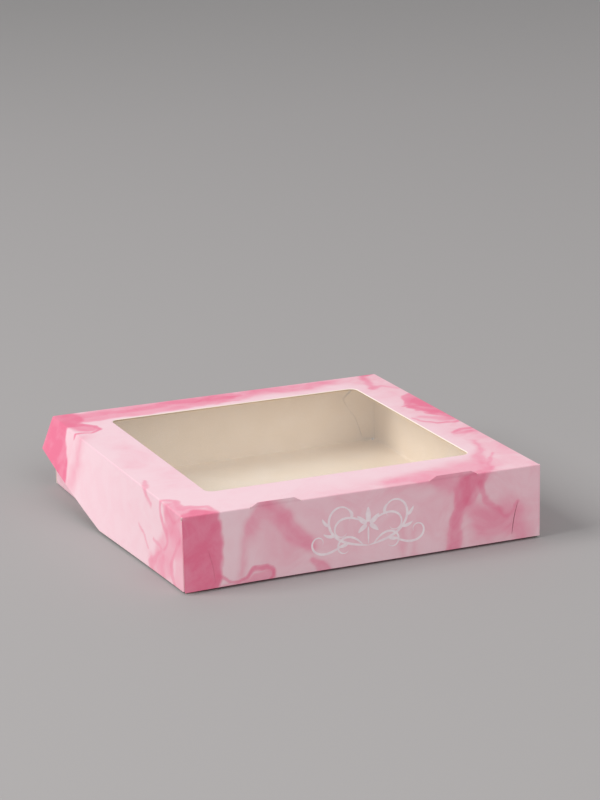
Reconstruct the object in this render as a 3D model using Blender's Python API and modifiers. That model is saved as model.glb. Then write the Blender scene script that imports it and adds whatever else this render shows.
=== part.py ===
"""A folding-carton gift box with a window in its lid.

One creased board blank makes the tray and the lid. Each panel between two creases is a part of its
own, and a clear film is glued under the lid's window. The front faces -Y, the box stands on Z = 0,
and the origin is the centre of its footprint. All lengths are metres.
"""

import math

import bmesh
import bpy
from mathutils import Vector

# Driving dimensions of the closed box.
WIDTH = 0.200
DEPTH = 0.204
HEIGHT = 0.0403
BOARD = 0.00045          # thickness of the board
GAP = 0.0003             # air between neighbouring panels, also left open at each crease
LAYER = BOARD + GAP      # from one layer of board to the next

LEFT = -WIDTH / 2
RIGHT = WIDTH / 2
FRONT = -DEPTH / 2
BACK = DEPTH / 2
TOP = HEIGHT

# Window of the lid and what closes it.
WINDOW_SIZE = (0.150, 0.148)
WINDOW_CENTRE = (0.0011, 0.0047)
WINDOW_RADIUS = 0.006
FILM_MARGIN = 0.007      # how far the film reaches under the board
FILM = 0.00015
GLUE_MARGIN = 0.0045     # from the window's edge to the middle of the glue line
GLUE_WIDTH = 0.003
GLUE = 0.0001
GLUE_GAP = 0.0001

# Flaps of the lid.
FLAP_LIFT = 0.0005       # the flaps end this far above the table
TAPER_START = 0.110      # from the front edge, where the side flaps' lower edge starts to rise
REAR_REACH = 0.0193      # depth of a side flap at its rear end
REAR_INSET = 0.001       # from the back of the box to a side flap's rear end
SPLAY_STEADY = math.radians(12.5)  # the left flap's twist at its rear end is the sum of
SPLAY_BENT = math.radians(9.0)     # a steady share and a share that grows with the square

# Strips that stand up at the front flap's fold, and the slots that they leave in the lid.
STRIP_CENTRE = 0.0497    # from the middle of the box
STRIP_BASE = 0.027
STRIP_CREST = 0.0198
STRIP_RISE = 0.002       # above the lid
SLOT_DEPTH = 0.0024      # from the front edge

# Hook slits: a curved one at each end of the front flap, a slanted one in the tray's end walls.
SLIT = 0.0005            # width of a slit
FLAP_SLIT_TOP = (0.0129, 0.0180)     # from the box's side, and down from the top
FLAP_SLIT_FOOT = (0.0165, 0.0367)
FLAP_SLIT_BOW = 0.0006
WALL_SLIT_OUTER = (0.0215, 0.0120)   # from the box's side, and down from the top
WALL_SLIT_INNER = (0.0135, 0.0062)
SLIT_STEPS = 8

# Ears, as (from the box's side, down from the top) with the radius of each corner.
LID_EAR = ((0.0003, 0.0018, 0), (0.0127, 0.0178, 0.004), (0.0164, 0.0355, 0.003),
           (0.0135, 0.0385, 0.002), (0.0003, 0.0392, 0))
TRAY_EAR = ((0, 0.0012, 0), (0.0133, 0.0070, 0.006), (0.0206, 0.0127, 0.0015),
            (0.0174, 0.0186, 0.002), (0.0129, 0.0241, 0.004), (0.0104, 0.0310, 0.008),
            (0.0080, 0.0385, 0.002), (0, 0.0390, 0))
ARC_STEP = math.radians(15)

# Where the creases lie.
LID_AXIS = Vector((0, BACK, TOP))
FRONT_FLAP_AXIS = Vector((0, FRONT, TOP))
FACING_FRONT = (math.pi / 2, 0, 0)               # local X, Y become world X, Z
FACING_SIDE = (math.pi / 2, 0, math.pi / 2)      # local X, Y become world Y, Z

PRINT_PINK = (0.87, 0.50, 0.58)
BOARD_CREAM = (0.83, 0.74, 0.62)


def clear_scene():
    for old in list(bpy.data.objects):
        bpy.data.objects.remove(old, do_unlink=True)


def make_material(name, colour, roughness, alpha=1.0):
    material = bpy.data.materials.new(name)
    material.use_nodes = True
    shader = material.node_tree.nodes["Principled BSDF"]
    shader.inputs["Base Color"].default_value = (*colour, 1)
    shader.inputs["Roughness"].default_value = roughness
    shader.inputs["Metallic"].default_value = 0
    shader.inputs["Alpha"].default_value = alpha
    return material


def add_part(name, data, place, parent=None, rotation=(0, 0, 0), colour=PRINT_PINK,
             roughness=0.5, alpha=1.0):
    """Links data as a part whose own origin is at place, in world coordinates."""
    part = bpy.data.objects.new(name, data)
    part_collection.objects.link(part)
    part.data.materials.append(make_material(name + "_finish", colour, roughness, alpha))
    part.parent = parent
    part.location = Vector(place) - (axis_points[parent.name] if parent else Vector())
    part.rotation_euler = rotation
    return part


def add_axis(name, point, parent=None):
    """An empty on a crease, which the panels that turn about that crease are parented to."""
    axis = bpy.data.objects.new(name, None)
    part_collection.objects.link(axis)
    axis.empty_display_size = 0.01
    axis.parent = parent
    axis.location = Vector(point) - (axis_points[parent.name] if parent else Vector())
    axis_points[name] = Vector(point)
    return axis


def box_part(name, low, high, **settings):
    """A plain rectangular panel between two opposite corners, from a cube."""
    mesh = bpy.data.meshes.new(name)
    shape = bmesh.new()
    bmesh.ops.create_cube(shape, size=1)
    size = Vector(high) - Vector(low)
    bmesh.ops.scale(shape, vec=size, verts=shape.verts)
    shape.to_mesh(mesh)
    shape.free()
    return add_part(name, mesh, (Vector(low) + Vector(high)) / 2, **settings)


def outline_part(name, outlines, thickness, place, **settings):
    """A flat panel: the first outline is its edge, and the others are holes in it."""
    curve = bpy.data.curves.new(name, "CURVE")
    curve.dimensions = "2D"
    curve.fill_mode = "BOTH"
    curve.extrude = thickness / 2
    for outline in outlines:
        spline = curve.splines.new("POLY")
        spline.points.add(len(outline) - 1)
        for point, (x, y) in zip(spline.points, outline):
            point.co = (x, y, 0, 1)
        spline.use_cyclic_u = True
    return add_part(name, curve, place, **settings)


def rounded(corners):
    """Corners (x, y, radius) of a closed outline, with each radius turned into an arc."""
    points = []
    for index, (x, y, radius) in enumerate(corners):
        corner = Vector((x, y))
        if not radius:
            points.append(corner)
            continue
        before = (Vector(corners[index - 1][:2]) - corner).normalized()
        after = (Vector(corners[(index + 1) % len(corners)][:2]) - corner).normalized()
        half = before.angle(after) / 2
        centre = corner + (before + after).normalized() * radius / math.sin(half)
        first = corner + before * radius / math.tan(half) - centre
        last = corner + after * radius / math.tan(half) - centre
        steps = max(2, math.ceil((math.pi - 2 * half) / ARC_STEP))
        turn = first.angle_signed(last)
        for step in range(steps + 1):
            angle = -turn * step / steps
            points.append(centre + Vector((first.x * math.cos(angle) - first.y * math.sin(angle),
                                           first.x * math.sin(angle) + first.y * math.cos(angle))))
    return points


def rounded_rectangle(centre, size, radius):
    (x, y), half_x, half_y = centre, size[0] / 2, size[1] / 2
    return rounded([(x - half_x, y - half_y, radius), (x + half_x, y - half_y, radius),
                    (x + half_x, y + half_y, radius), (x - half_x, y + half_y, radius)])


def slit_outline(first, last, bow):
    """A slit of even width whose middle line bends away from the straight line by bow."""
    start, along = Vector(first), Vector(last) - Vector(first)
    across = Vector((-along.y, along.x)).normalized()
    shares = [step / SLIT_STEPS for step in range(SLIT_STEPS + 1)]
    middle = [start + along * share + across * bow * math.sin(math.pi * share) for share in shares]
    return ([point + across * SLIT / 2 for point in middle]
            + [point - across * SLIT / 2 for point in reversed(middle)])


def on_panel(points, side):
    """Points given from the box's side and down from the top, as (x, z) seen from the front."""
    return [(side * (WIDTH / 2 - point[0]), TOP - point[1]) for point in points]


def tray():
    outer_left, outer_right = LEFT + LAYER, RIGHT - LAYER
    front, wall_top, wall_foot = FRONT + 2 * LAYER, TOP - LAYER, LAYER
    box_part("tray_bottom", (outer_left, front, 0), (outer_right, BACK, BOARD), colour=BOARD_CREAM)
    for name, side in (("tray_left_wall", -1), ("tray_right_wall", 1)):
        edges = sorted((side * outer_right, side * (outer_right - BOARD)))
        box_part(name, (edges[0], front + 2 * LAYER, wall_foot),
                 (edges[1], BACK - 2 * LAYER, wall_top), colour=BOARD_CREAM)
    wall = [(outer_left, wall_foot), (outer_right, wall_foot),
            (outer_right, wall_top), (outer_left, wall_top)]
    slits = [slit_outline(*on_panel((WALL_SLIT_OUTER, WALL_SLIT_INNER), side), 0)
             for side in (-1, 1)]
    walls = (("tray_front_wall", "tray_front", front + BOARD / 2, front + LAYER + BOARD / 2),
             ("tray_back_wall", "tray_back", BACK - BOARD / 2, BACK - LAYER - BOARD / 2))
    for wall_name, ear_name, wall_y, ear_y in walls:
        outline_part(wall_name, [wall] + slits, BOARD, (0, wall_y, 0),
                     rotation=FACING_FRONT, colour=BOARD_CREAM)
        for word, side in (("left", -1), ("right", 1)):
            ear = rounded([(side * (outer_right - along), TOP - down, radius)
                           for along, down, radius in TRAY_EAR])
            outline_part(f"{ear_name}_{word}_ear", [ear], BOARD, (0, ear_y, 0),
                         rotation=FACING_FRONT, colour=BOARD_CREAM)


def strip_trapezium(side, low, high, spare):
    """The four corners of a strip or of its slot, left to right along the lower edge first."""
    middle, base, crest = side * STRIP_CENTRE, STRIP_BASE / 2 + spare, STRIP_CREST / 2 + spare
    return [(middle - base, low), (middle - crest, high), (middle + crest, high),
            (middle + base, low)]


def lid(lid_axis):
    edge_front, edge_back = FRONT + GAP, BACK - GAP
    left, right = LEFT + GAP, RIGHT - GAP
    outline = [(left, edge_back), (left, edge_front)]
    for side in (-1, 1):
        outline += strip_trapezium(side, edge_front, FRONT + SLOT_DEPTH, GAP)
    outline += [(right, edge_front), (right, edge_back)]
    window = rounded_rectangle(WINDOW_CENTRE, WINDOW_SIZE, WINDOW_RADIUS)
    outline_part("lid_top", [outline, window], BOARD, (0, 0, TOP - BOARD / 2), parent=lid_axis)

    def around_window(margin):
        size = [side + 2 * margin for side in WINDOW_SIZE]
        return rounded_rectangle(WINDOW_CENTRE, size, WINDOW_RADIUS)

    glue_z = TOP - BOARD - GLUE_GAP - GLUE / 2
    glue = [around_window(GLUE_MARGIN + GLUE_WIDTH / 2), around_window(GLUE_MARGIN - GLUE_WIDTH / 2)]
    outline_part("window_glue_line", glue, GLUE, (0, 0, glue_z), parent=lid_axis,
                 colour=(0.85, 0.83, 0.78), roughness=0.3)
    film_top = glue_z - GLUE / 2 - GLUE_GAP
    centre_x, centre_y = WINDOW_CENTRE
    half_x, half_y = (side / 2 + FILM_MARGIN for side in WINDOW_SIZE)
    box_part("window_film", (centre_x - half_x, centre_y - half_y, film_top - FILM),
             (centre_x + half_x, centre_y + half_y, film_top), parent=lid_axis,
             colour=(0.95, 0.95, 0.95), roughness=0.05, alpha=0.2)


def front_flap(flap_axis):
    low, high = FLAP_LIFT, TOP - LAYER
    outline = [(LEFT, high), (LEFT, low), (RIGHT, low), (RIGHT, high)]
    for side in (1, -1):
        outline += reversed(strip_trapezium(side, high, TOP + STRIP_RISE, 0))
    slits = []
    for side in (-1, 1):
        ends = on_panel((FLAP_SLIT_TOP, FLAP_SLIT_FOOT), side)
        slits.append(slit_outline(*ends, side * FLAP_SLIT_BOW))
    outline_part("lid_front_flap", [outline] + slits, BOARD, (0, FRONT + BOARD / 2, 0),
                 parent=flap_axis, rotation=FACING_FRONT)


def side_flap_depth(from_front):
    """How far a side flap reaches down from its crease: full, then tapering to its rear end."""
    full, rear = TOP - FLAP_LIFT, DEPTH - REAR_INSET
    share = max(0, (from_front - TAPER_START) / (rear - TAPER_START))
    return full + (REAR_REACH - full) * share


def left_flap(flap_axis, lengthwise=36, downwards=3):
    """The left flap stands away from the tray more and more towards its rear end."""
    shape = bmesh.new()
    bmesh.ops.create_grid(shape, x_segments=lengthwise, y_segments=downwards, size=0.5)
    start, end = 2 * LAYER, DEPTH - REAR_INSET
    for vert in shape.verts:
        share = vert.co.x + 0.5
        from_front = start + (end - start) * share
        down = LAYER + (side_flap_depth(from_front) - LAYER) * (0.5 - vert.co.y)
        splay = SPLAY_STEADY * share + SPLAY_BENT * share ** 2
        vert.co = (-down * math.sin(splay), from_front - DEPTH / 2, -down * math.cos(splay))
    mesh = bpy.data.meshes.new("lid_left_flap")
    bmesh.ops.recalc_face_normals(shape, faces=shape.faces)
    if sum(face.normal.x for face in shape.faces) > 0:
        bmesh.ops.reverse_faces(shape, faces=shape.faces)
    shape.to_mesh(mesh)
    shape.free()
    flap = add_part("lid_left_flap", mesh, (LEFT, 0, TOP), parent=flap_axis)
    wall = flap.modifiers.new("board", "SOLIDIFY")
    wall.thickness = BOARD
    wall.offset = -1
    return flap


def right_flap(flap_axis):
    start, end = FRONT + 2 * LAYER, BACK - REAR_INSET
    outline = [(start, TOP - LAYER), (start, FLAP_LIFT), (FRONT + TAPER_START, FLAP_LIFT),
               (end, TOP - REAR_REACH), (end, TOP - LAYER)]
    outline_part("lid_right_flap", [outline], BOARD, (RIGHT - BOARD / 2, 0, 0),
                 parent=flap_axis, rotation=FACING_SIDE)


def lid_ear(name, side, ear_axis):
    outline = rounded([(side * (WIDTH / 2 - along), TOP - down, radius)
                       for along, down, radius in LID_EAR])
    outline_part(name, [outline], BOARD, (0, FRONT + LAYER + BOARD / 2, 0),
                 parent=ear_axis, rotation=FACING_FRONT)


clear_scene()
part_collection = bpy.data.collections.new("window_gift_box")
bpy.context.scene.collection.children.link(part_collection)
axis_points = {}
tray()
lid_crease = add_axis("lid_crease", LID_AXIS)
lid(lid_crease)
front_flap(add_axis("front_flap_crease", FRONT_FLAP_AXIS, lid_crease))
for side_name, side_sign, make_flap in (("left", -1, left_flap), ("right", 1, right_flap)):
    side_crease = add_axis(f"{side_name}_flap_crease", (side_sign * WIDTH / 2, 0, TOP), lid_crease)
    make_flap(side_crease)
    ear_point = (side_sign * WIDTH / 2, FRONT + LAYER, TOP)
    ear_crease = add_axis(f"{side_name}_ear_crease", ear_point, side_crease)
    lid_ear(f"lid_{side_name}_ear", side_sign, ear_crease)
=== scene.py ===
import math

import bpy
import numpy as np
from mathutils import Matrix, Vector


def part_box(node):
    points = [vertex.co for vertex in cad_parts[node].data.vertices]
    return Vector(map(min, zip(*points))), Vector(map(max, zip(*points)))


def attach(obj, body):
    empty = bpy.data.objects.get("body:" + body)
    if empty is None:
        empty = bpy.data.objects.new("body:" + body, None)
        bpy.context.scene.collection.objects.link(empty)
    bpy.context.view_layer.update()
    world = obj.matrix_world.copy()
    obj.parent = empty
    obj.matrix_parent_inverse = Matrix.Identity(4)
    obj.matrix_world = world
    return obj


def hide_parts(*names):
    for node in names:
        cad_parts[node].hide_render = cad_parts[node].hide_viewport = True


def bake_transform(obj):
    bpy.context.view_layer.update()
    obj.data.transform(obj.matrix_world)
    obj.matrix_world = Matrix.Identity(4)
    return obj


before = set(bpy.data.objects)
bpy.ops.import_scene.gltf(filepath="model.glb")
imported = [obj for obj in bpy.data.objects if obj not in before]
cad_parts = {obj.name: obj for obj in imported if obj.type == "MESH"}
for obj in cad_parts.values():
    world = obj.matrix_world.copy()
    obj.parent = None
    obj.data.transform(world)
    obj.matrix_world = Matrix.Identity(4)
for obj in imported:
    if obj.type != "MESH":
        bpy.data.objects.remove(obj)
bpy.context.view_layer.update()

# ------------------------------------------------------------
# The camera stands to the left of the front, a little above the box, and looks through a long
# lens. It leans by about one degree.
CAMERA_AIM = Vector((0.06595, 0.13537, 0.02015))
CAMERA_AZIMUTH = math.radians(-23.163)
CAMERA_HEIGHT = math.radians(15.619)
CAMERA_LEAN = math.radians(-1.029)
CAMERA_DISTANCE = 1.5599
CAMERA_LENS, CAMERA_SENSOR = 117.05, 36      # mm

camera = bpy.data.objects.new("camera", bpy.data.cameras.new("camera"))
bpy.context.scene.collection.objects.link(camera)
bpy.context.scene.camera = camera
camera.data.lens = CAMERA_LENS
camera.data.sensor_width = CAMERA_SENSOR
camera_back = Vector((math.sin(CAMERA_AZIMUTH) * math.cos(CAMERA_HEIGHT),
                      -math.cos(CAMERA_AZIMUTH) * math.cos(CAMERA_HEIGHT),
                      math.sin(CAMERA_HEIGHT)))
level_right = Vector((0, 0, 1)).cross(camera_back).normalized()
level_up = camera_back.cross(level_right)
camera_right = level_right * math.cos(CAMERA_LEAN) + level_up * math.sin(CAMERA_LEAN)
camera_up = camera_back.cross(camera_right)
camera.matrix_world = (Matrix.Translation(CAMERA_AIM + camera_back * CAMERA_DISTANCE)
                       @ Matrix((camera_right, camera_up, camera_back)).transposed().to_4x4())

# ------------------------------------------------------------
# The studio: a seamless pale grey table, a large soft lamp high on the left, a weaker one in
# front, and an even room around them. The front of the box lies in the first lamp's shade.
def linear(hex_colour):
    """An sRGB colour such as "F5DDE2" as linear red, green, blue and an alpha of one."""
    values = np.array([int(hex_colour[i:i + 2], 16) / 255 for i in (0, 2, 4)])
    low = values / 12.92
    high = ((values + 0.055) / 1.055) ** 2.4
    return (*np.where(values <= 0.04045, low, high).tolist(), 1.0)


def add_node(tree, kind, links=None, **settings):
    """Adds a node. links gives each input, by name or number, its value or the output it reads."""
    node = tree.nodes.new(kind)
    for name, value in settings.items():
        setattr(node, name, value)
    for socket, value in (links or {}).items():
        if isinstance(value, bpy.types.NodeSocket):
            tree.links.new(value, node.inputs[socket])
        else:
            node.inputs[socket].default_value = value
    return node


def new_material(name):
    """An empty node material and its tree, with a Principled shader wired to the output."""
    material = bpy.data.materials.new(name)
    material.use_nodes = True
    tree = material.node_tree
    tree.nodes.clear()
    shader = add_node(tree, "ShaderNodeBsdfPrincipled")
    add_node(tree, "ShaderNodeOutputMaterial", {"Surface": shader.outputs[0]})
    return material, tree, shader


def tones(tree, value, stops):
    """A value turned into a colour, through stops of (position, sRGB hex)."""
    ramp = add_node(tree, "ShaderNodeValToRGB", {0: value})
    elements = ramp.color_ramp.elements
    while len(elements) < len(stops):
        elements.new(0.5)
    for element, (position, colour) in zip(elements, stops):
        element.position = position
        element.color = linear(colour)
    return ramp.outputs[0]


def noise(tree, place, scale, detail, **inputs):
    """A cloudy value from 0 to 1, with about scale clouds to one unit of place."""
    return add_node(tree, "ShaderNodeTexNoise", {"Vector": place, "Scale": scale,
                                                 "Detail": detail, **inputs}).outputs[0]


def maths(tree, operation, *values):
    """What a Math node makes of these values."""
    return add_node(tree, "ShaderNodeMath", dict(enumerate(values)),
                    operation=operation).outputs[0]


def ranged(tree, value, low, high, to_low, to_high):
    """A value stretched evenly from low..high to to_low..to_high, and held at its ends."""
    return add_node(tree, "ShaderNodeMapRange", {"Value": value, "From Min": low, "From Max": high,
                                                 "To Min": to_low, "To Max": to_high}).outputs[0]


TABLE_HALF, TABLE_TOP = 6.0, -0.0001
table_mesh = bpy.data.meshes.new("studio_table")
table_mesh.from_pydata([(x * TABLE_HALF, y * TABLE_HALF, TABLE_TOP)
                        for x, y in ((-1, -1), (1, -1), (1, 1), (-1, 1))], [], [(0, 1, 2, 3)])
table = bpy.data.objects.new("studio_table", table_mesh)
bpy.context.scene.collection.objects.link(table)
# Background paper off a roll: matte and neutral. It is painted a little darker far behind, as shade
# where the lamps reach less.
paper_grey, tree, shader = new_material("seamless_backdrop_paper")
where = add_node(tree, "ShaderNodeTexCoord").outputs["Object"]
depth_back = add_node(tree, "ShaderNodeSeparateXYZ", {0: where}).outputs["Y"]
far_painted_shade = ranged(tree, depth_back, 1.2, 4.0, 0.0, 1.0)
greys_with_painted_falloff = tones(tree, far_painted_shade, ((0.0, "A8A5A4"), (1.0, "9B9A98")))
tree.links.new(greys_with_painted_falloff, shader.inputs["Base Color"])
shader.inputs["Roughness"].default_value = 0.75
shader.inputs["Specular IOR Level"].default_value = 0.25
table_mesh.materials.append(paper_grey)

LAMPS = (  # name, place, size, power in watts, aim
    ("key_lamp", (-2.65, 0.30, 2.3), 2.0, 90.0, (0, 0, 0)),
    ("fill_lamp", (0.2, -2.9, 2.3), 2.4, 36.0, (0, 0, 0)),
)
for lamp_name, lamp_place, lamp_size, lamp_power, lamp_aim in LAMPS:
    lamp_data = bpy.data.lights.new(lamp_name, "AREA")
    lamp_data.size = lamp_size
    lamp_data.energy = lamp_power
    lamp = bpy.data.objects.new(lamp_name, lamp_data)
    bpy.context.scene.collection.objects.link(lamp)
    lamp.location = lamp_place
    lamp.rotation_mode = "QUATERNION"
    lamp.rotation_quaternion = (Vector(lamp_place) - Vector(lamp_aim)).to_track_quat("Z", "Y")
room = bpy.data.worlds.new("room")
room.use_nodes = True
room.node_tree.nodes["Background"].inputs["Color"].default_value = linear("F4F4F6")
room.node_tree.nodes["Background"].inputs["Strength"].default_value = 0.52
bpy.context.scene.world = room
bpy.context.scene.view_settings.view_transform = "Standard"

# ------------------------------------------------------------
# The printed face: coated carton board, offset printed with a watercolour marble in pinks and
# laminated matte. The print is laid out on the flat blank, so it runs on over every fold. Wet
# ink pools at the rim of each stroke, which gives the darker outlines.
MM = 0.001
LEFT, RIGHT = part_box("lid_front_flap")[0].x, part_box("lid_front_flap")[1].x
FRONT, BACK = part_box("lid_front_flap")[0].y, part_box("tray_back_wall")[1].y
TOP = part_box("lid_top")[1].z
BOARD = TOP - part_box("lid_top")[0].z
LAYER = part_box("tray_left_wall")[0].x - LEFT     # from one layer of board to the next
FOLD = LAYER                                     # length of a panel that its fold takes up
BEND_POINTS = 7                                  # points along the profile of a bend
BLANK_WIDTH, BLANK_DEPTH = (RIGHT - LEFT) / MM, (BACK - FRONT) / MM

# Strokes of ink on the flat blank: strength, softness of the edge in mm, and points of the middle
# line as (right from the box's left side, back from its front edge, half width), in mm. The front
# flap lies at -40 to 0 there, the back wall from 204 up, and the side flaps left of 0 and right
# of 200.
STROKES = (
    # front flap, left end: a deep block, with a thin wave running out of its foot
    (0.88, 1.2, ((10.5, -1, 10), (9.5, -10, 11), (9, -20, 11), (8, -28, 10), (7, -44, 10.5))),
    (0.35, 1.5, ((4, -6, 2), (10, -14, 3), (5, -24, 3), (9, -38, 4))),
    (0.42, 1.5, ((18, -41, 3), (33, -40, 3.5), (45, -37.5, 4.5))),
    (0.62, 0.6, ((16, -32.5, .8), (23, -35.6, .8), (30, -36, .8), (35.5, -34.2, .9),
                 (40, -31.8, 1.2), (44.5, -31, 1.5), (47.5, -33.5, 1.2), (48, -37, .9),
                 (46, -42, .9))),
    # front flap, left half: two soft legs that meet at the fold
    (0.30, 4.0, ((44, 0, 3), (37.5, -12, 3), (33.5, -22, 2.5), (31.5, -32, 2))),
    (0.42, 4.0, ((47, -1, 4), (54, -10, 4.5), (62, -17.5, 4), (71, -26, 2))),
    (0.18, 7.0, ((48, -12, 10), (53, -22, 10))),
    (0.40, 2.0, ((70, -33, 1.5), (74, -37, 3), (76, -42, 3.5))),
    (0.22, 3.0, ((118, -24, 1), (121, -32, 1.2), (122, -42, 1.5))),
    (0.20, 2.5, ((126, -26, .8), (129, -40, 1.2))),
    # front flap, right half: a plume that comes over the fold and falls in two legs
    (0.26, 3.0, ((132, 1, 2), (146, -1, 3.5), (156, -3, 5))),
    (0.40, 1.6, ((164, 1, 5), (162, -6, 6), (159.5, -12, 4.5))),
    (0.44, 1.8, ((160, -2, 5), (156, -10, 5), (152.5, -18, 3.8), (150, -27, 3), (148.5, -36, 3),
                 (148, -43, 3.5))),
    (0.36, 1.0, ((166, -5, 2), (169, -13, 1.4), (173, -20, 1.2), (178, -25, 1), (183, -23.5, .8),
                 (186, -18, .8))),
    (0.30, 6.0, ((160, -16, 5), (168, -28, 9), (184, -26, 8), (188, -36, 6))),
    (0.24, 2.5, ((155, -15, 4), (150, -27, 4), (148, -42, 4.5))),
    # lid, front right corner
    (0.34, 3.0, ((189, 55, 1.5), (181, 33, 2.6), (173, 13, 3), (167, -3, 3))),
    (0.32, 1.2, ((172, 4, .8), (177, 13, .9), (182, 19, .9), (189, 28, .8))),
    (0.34, 8.0, ((116, 6, 4), (135, 7, 7), (152, 10, 9), (172, 16, 10))),
    # lid, right margin: a bright wedge that runs over the side
    (0.62, 0.9, ((182.5, 131.5, .4), (190, 139, 3), (198, 148, 5), (206, 152, 5))),
    (0.62, 1.0, ((183, 131.5, .4), (189, 131.5, 4.5), (197, 132, 8), (206, 132, 9))),
    (0.60, 1.0, ((184.5, 129, .4), (189, 121, 3.5), (196, 117, 6), (206, 113, 6))),
    (0.60, 0.9, ((189, 114, .6), (194.5, 108, 2.6), (200, 102, 3), (206, 98, 3))),
    (0.50, 2.0, ((187, 129, 2.5), (193, 123, 6), (201, 114, 7))),
    (0.55, 0.8, ((180.5, 107, .5), (182, 100, .8), (186.5, 95, 1.1), (195, 94, 1.3),
                 (204, 95, 1.6))),
    (0.35, 3.0, ((185, 107, 2), (190, 102, 3.5), (198, 99, 3.5))),
    (0.50, 1.4, ((186.5, 73, 1), (190, 75, 1.6), (194.5, 77, 1.8), (203, 76, 1.8))),
    (0.30, 2.5, ((187, 70, 2), (196, 70, 3))),
    (0.34, 2.0, ((195, 206, 2), (190, 192, 2), (184, 176, 1.6))),
    (0.28, 1.6, ((183, 176, 1), (190, 179, 1), (197, 169, 1))),
    # lid, back margin and back left corner
    (0.50, 2.0, ((-2, 196, 9), (15, 194, 10), (38, 193, 10), (62, 194, 9), (88, 195, 9),
                 (104, 198, 6))),
    (0.45, 1.5, ((0, 200, 5), (20, 197, 4), (40, 192, 3), (56, 196, 3), (74, 199, 3), (96, 196, 3),
                 (112, 198, 2))),
    (0.30, 5.0, ((100, 196, 7), (130, 196, 7), (165, 198, 6))),
    (0.40, 1.2, ((92, 186, 1.2), (98, 188.5, 1.6), (108, 187, 1.2))),
    (0.62, 2.0, ((3, 184, 5), (8, 171, 5))),
    (0.72, 0.7, ((-2, 183, 3), (4, 180.5, 2.2), (10, 179, 1.8), (14.3, 173.5, 1.6), (13, 167, 1.3),
                 (7, 161.8, 1.1), (-1, 165, 1.2))),
    # left flap, rear: the brightest pool
    (0.92, 1.5, ((2, 195, 12), (-8, 192, 16), (-18, 196, 13), (-26, 201, 9))),
    (0.50, 1.0, ((-2, 204, 3), (-12, 200, 3), (-20, 186, 2.5), (-28, 190, 3))),
    (0.80, 1.2, ((-7, 180, 5), (-14, 177, 6), (-21, 173, 6.5), (-27, 168, 5))),
    (0.80, 1.5, ((-17, 189, 8), (-26, 180, 7))),
    (0.22, 6.0, ((1, 154, 4), (-12, 150, 5), (-26, 154, 6), (-38, 165, 5))),
    # left flap, front: a curl over the fold, a pool with a wandering edge, and small streaks
    (0.48, 1.1, ((-24, 25, .9), (-16.5, 19, 1.1), (-12.5, 20.5, 1.3), (-10, 26, 1.6),
                 (-7.5, 30.5, 1.8), (-3, 31.5, 1.8), (1.5, 29, 1.6), (4, 26, 1.6), (4.8, 19, 1.8),
                 (6, 13, 2.2), (12, 12, 2), (17.5, 12, 1.6), (20.5, 7, 1.4), (20.5, 0, 1))),
    (0.38, 3.5, ((-6, 14, 9), (2, 8, 7), (14, 4, 6))),
    (0.24, 2.5, ((0, 22, 5), (-5, 15, 7))),
    (0.30, 1.2, ((3, 22, 1), (-3, 20, 1.5), (-5, 12, 1.5), (-1, 5, 1.2))),
    (0.27, 3.0, ((-15, 9, 8), (-22, 21, 10), (-29, 25, 13), (-37, 35, 9))),
    (0.24, 3.0, ((-6, 1, 6), (-24, 1, 8), (-41, 2, 9))),
    # left ear: deep ink as painted shade, so that the gap behind the front flap's end reads as a
    # dark line
    (0.95, 0.8, ((-1, -6, 6), (-41, -6, 6))),
    (0.38, 0.8, ((-20.5, 41, .7), (-23, 34, .9), (-24.5, 28, 1.1), (-30, 36, 1.6), (-38, 43, 1.8),
                 (-44, 42, 1.6))),
    (0.36, 1.0, ((-13, 5, 1), (-22, 11, 1.4), (-31, 15, 1.8), (-41, 10, 1.8))),
    (0.30, 2.0, ((-29, 27, 2), (-34, 31, 3), (-40, 26, 3))),
    (0.34, 0.8, ((-19.5, 57, .7), (-24, 51, .8), (-30, 45, .7))),
    (0.38, 1.5, ((4.5, 67, 1), (2.5, 60, 1.8), (-3, 54, 1.8), (-6, 51, 1.5), (-7.5, 45, 1))),
    # right flap, on from the wedge and the corners
    (0.80, 1.5, ((204, 132, 12), (216, 126, 9), (230, 118, 5), (242, 116, 3))),
    (0.50, 4.0, ((212, 30, 8), (222, 24, 11), (238, 30, 9))),
    (0.55, 1.0, ((202, 76, 1.6), (212, 66, 2), (224, 64, 1.2), (236, 54, 1.5))),
    (0.35, 5.0, ((208, 176, 6), (222, 180, 7))),
    # back wall, on from the back margin
    (0.75, 1.5, ((-2, 205, 8), (14, 216, 9), (24, 230, 6), (22, 246, 4))),
    (0.55, 1.0, ((60, 205, 3), (70, 215, 1.6), (86, 222, 1.4), (96, 236, 1.6))),
    (0.40, 5.0, ((120, 206, 6), (132, 222, 10), (150, 236, 8))),
    (0.70, 1.2, ((196, 204, 4), (186, 214, 6), (178, 226, 5), (182, 244, 3))),
    # tray bottom and front wall
    (0.60, 1.5, ((30, 262, 6), (52, 284, 9), (58, 312, 6), (44, 340, 3))),
    (0.70, 1.2, ((150, 300, 4), (138, 326, 8), (142, 352, 10), (158, 378, 5), (160, 404, 3))),
    (0.45, 4.0, ((60, 390, 10), (82, 410, 12), (88, 440, 8))),
    (0.60, 1.0, ((170, 440, 5), (160, 460, 4), (150, 486, 2))),
    # a deep band along the foot of the front wall: painted shade, so the gap under the front flap's
    # foot reads dark
    (0.90, 1.0, ((-2, 447, 3), (60, 449, 4), (120, 446.5, 3), (202, 449, 4))),
    # tray side walls
    (0.60, 1.5, ((-4, 320, 6), (-16, 332, 8), (-36, 340, 4))),
    (0.55, 1.2, ((202, 330, 4), (216, 345, 7), (238, 350, 5))),
)
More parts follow.
